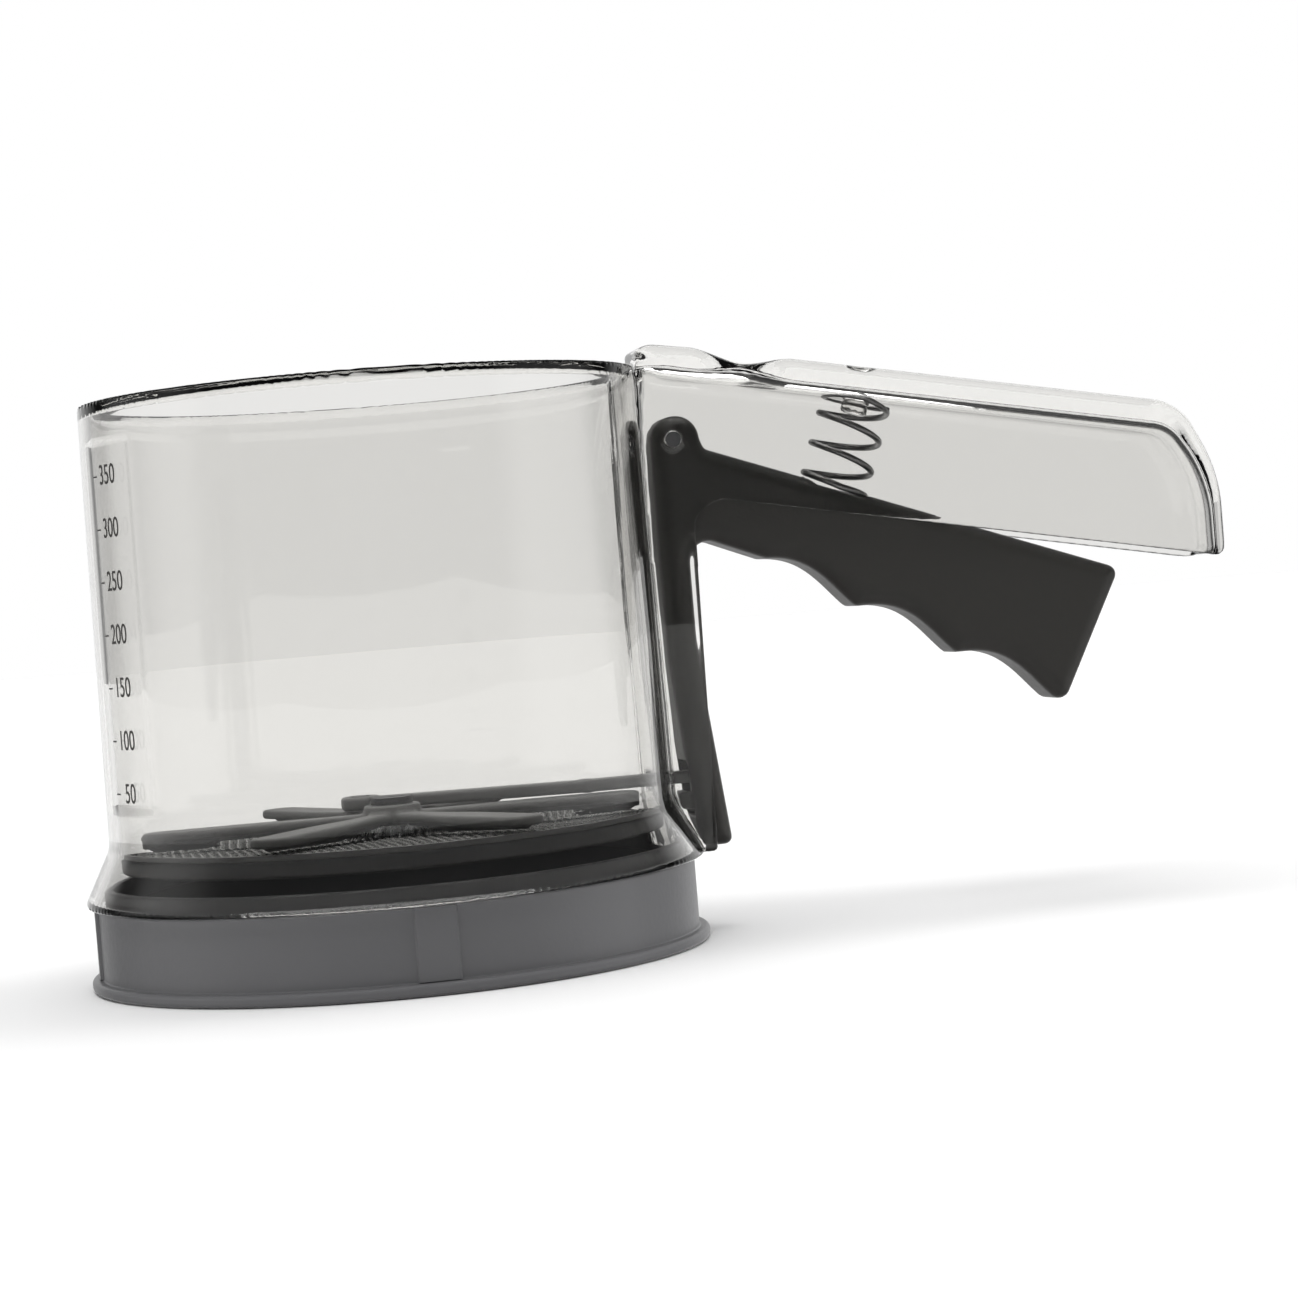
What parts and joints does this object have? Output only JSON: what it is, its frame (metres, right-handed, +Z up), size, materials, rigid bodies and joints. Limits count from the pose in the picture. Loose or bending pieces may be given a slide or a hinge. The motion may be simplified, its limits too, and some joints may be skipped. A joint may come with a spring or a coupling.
{
  "type": "flour sifter",
  "caption": "One-hand flour sifter: clear cup over a wire sieve, with a hollow handle, a sprung trigger that swings a wiper, and a lift-off base cover.",
  "frame": {"origin": "centre of the base's flat bottom face, on the cup's axis", "axes": "+Z up along the cup's axis, +X along the handle"},
  "size_m": [0.2342, 0.1204, 0.1165],
  "materials": {
    "clear_plastic": "smoky clear plastic, polished",
    "trigger_plastic": "dark grey plastic, satin",
    "wiper_plastic": "mid grey plastic, satin",
    "frame_plastic": "dark grey plastic, satin",
    "cover_plastic": "mid grey plastic, satin",
    "spring_steel": "drawn steel wire",
    "sieve_steel": "woven steel wire",
    "fastener_steel": "turned steel"
  },
  "bodies": {
    "cup": {"cup_shell": "clear_plastic", "lever_pin": "spring_steel", "return_spring": "spring_steel", "sieve_mesh": "sieve_steel", "mesh_rim": "sieve_steel", "mesh_frame": "frame_plastic", "agitator_axle": "frame_plastic", "axle_washer": "fastener_steel", "axle_nut": "fastener_steel"},
    "trigger": {"trigger_lever": "trigger_plastic"},
    "rod": {"push_rod": "wiper_plastic"},
    "wiper": {"agitator": "wiper_plastic"},
    "cover": {"base_cover": "cover_plastic"}
  },
  "joints": [
    {"name": "trigger_pivot", "type": "hinge", "parent": "cup", "child": "trigger", "pos_m": [0.0601, 0, 0.0972], "axis": [0, -1, 0], "range_deg": [0, 10], "stiffness_Nm_per_rad": 1.2, "springref_deg": -5.73, "deforming": ["return_spring"]},
    {"name": "rod_slide", "type": "slide", "parent": "cup", "child": "rod", "axis": [1, 0, 0], "range_m": [0, 0.0121]},
    {"name": "wiper_spin", "type": "hinge", "parent": "cup", "child": "wiper", "pos_m": [0, 0, 0.028], "axis": [0, 0, 1], "range_deg": [-60.5, 0]},
    {"name": "cover_lift_off", "type": "slide", "parent": "cup", "child": "cover", "axis": [0, 0, -1], "range_m": [0, 0.03]}
  ],
  "couplings": [
    {"joint": "rod_slide", "follows": "trigger_pivot", "m_per_rad": 0.06875},
    {"joint": "wiper_spin", "follows": "trigger_pivot", "ratio": -6}
  ]
}
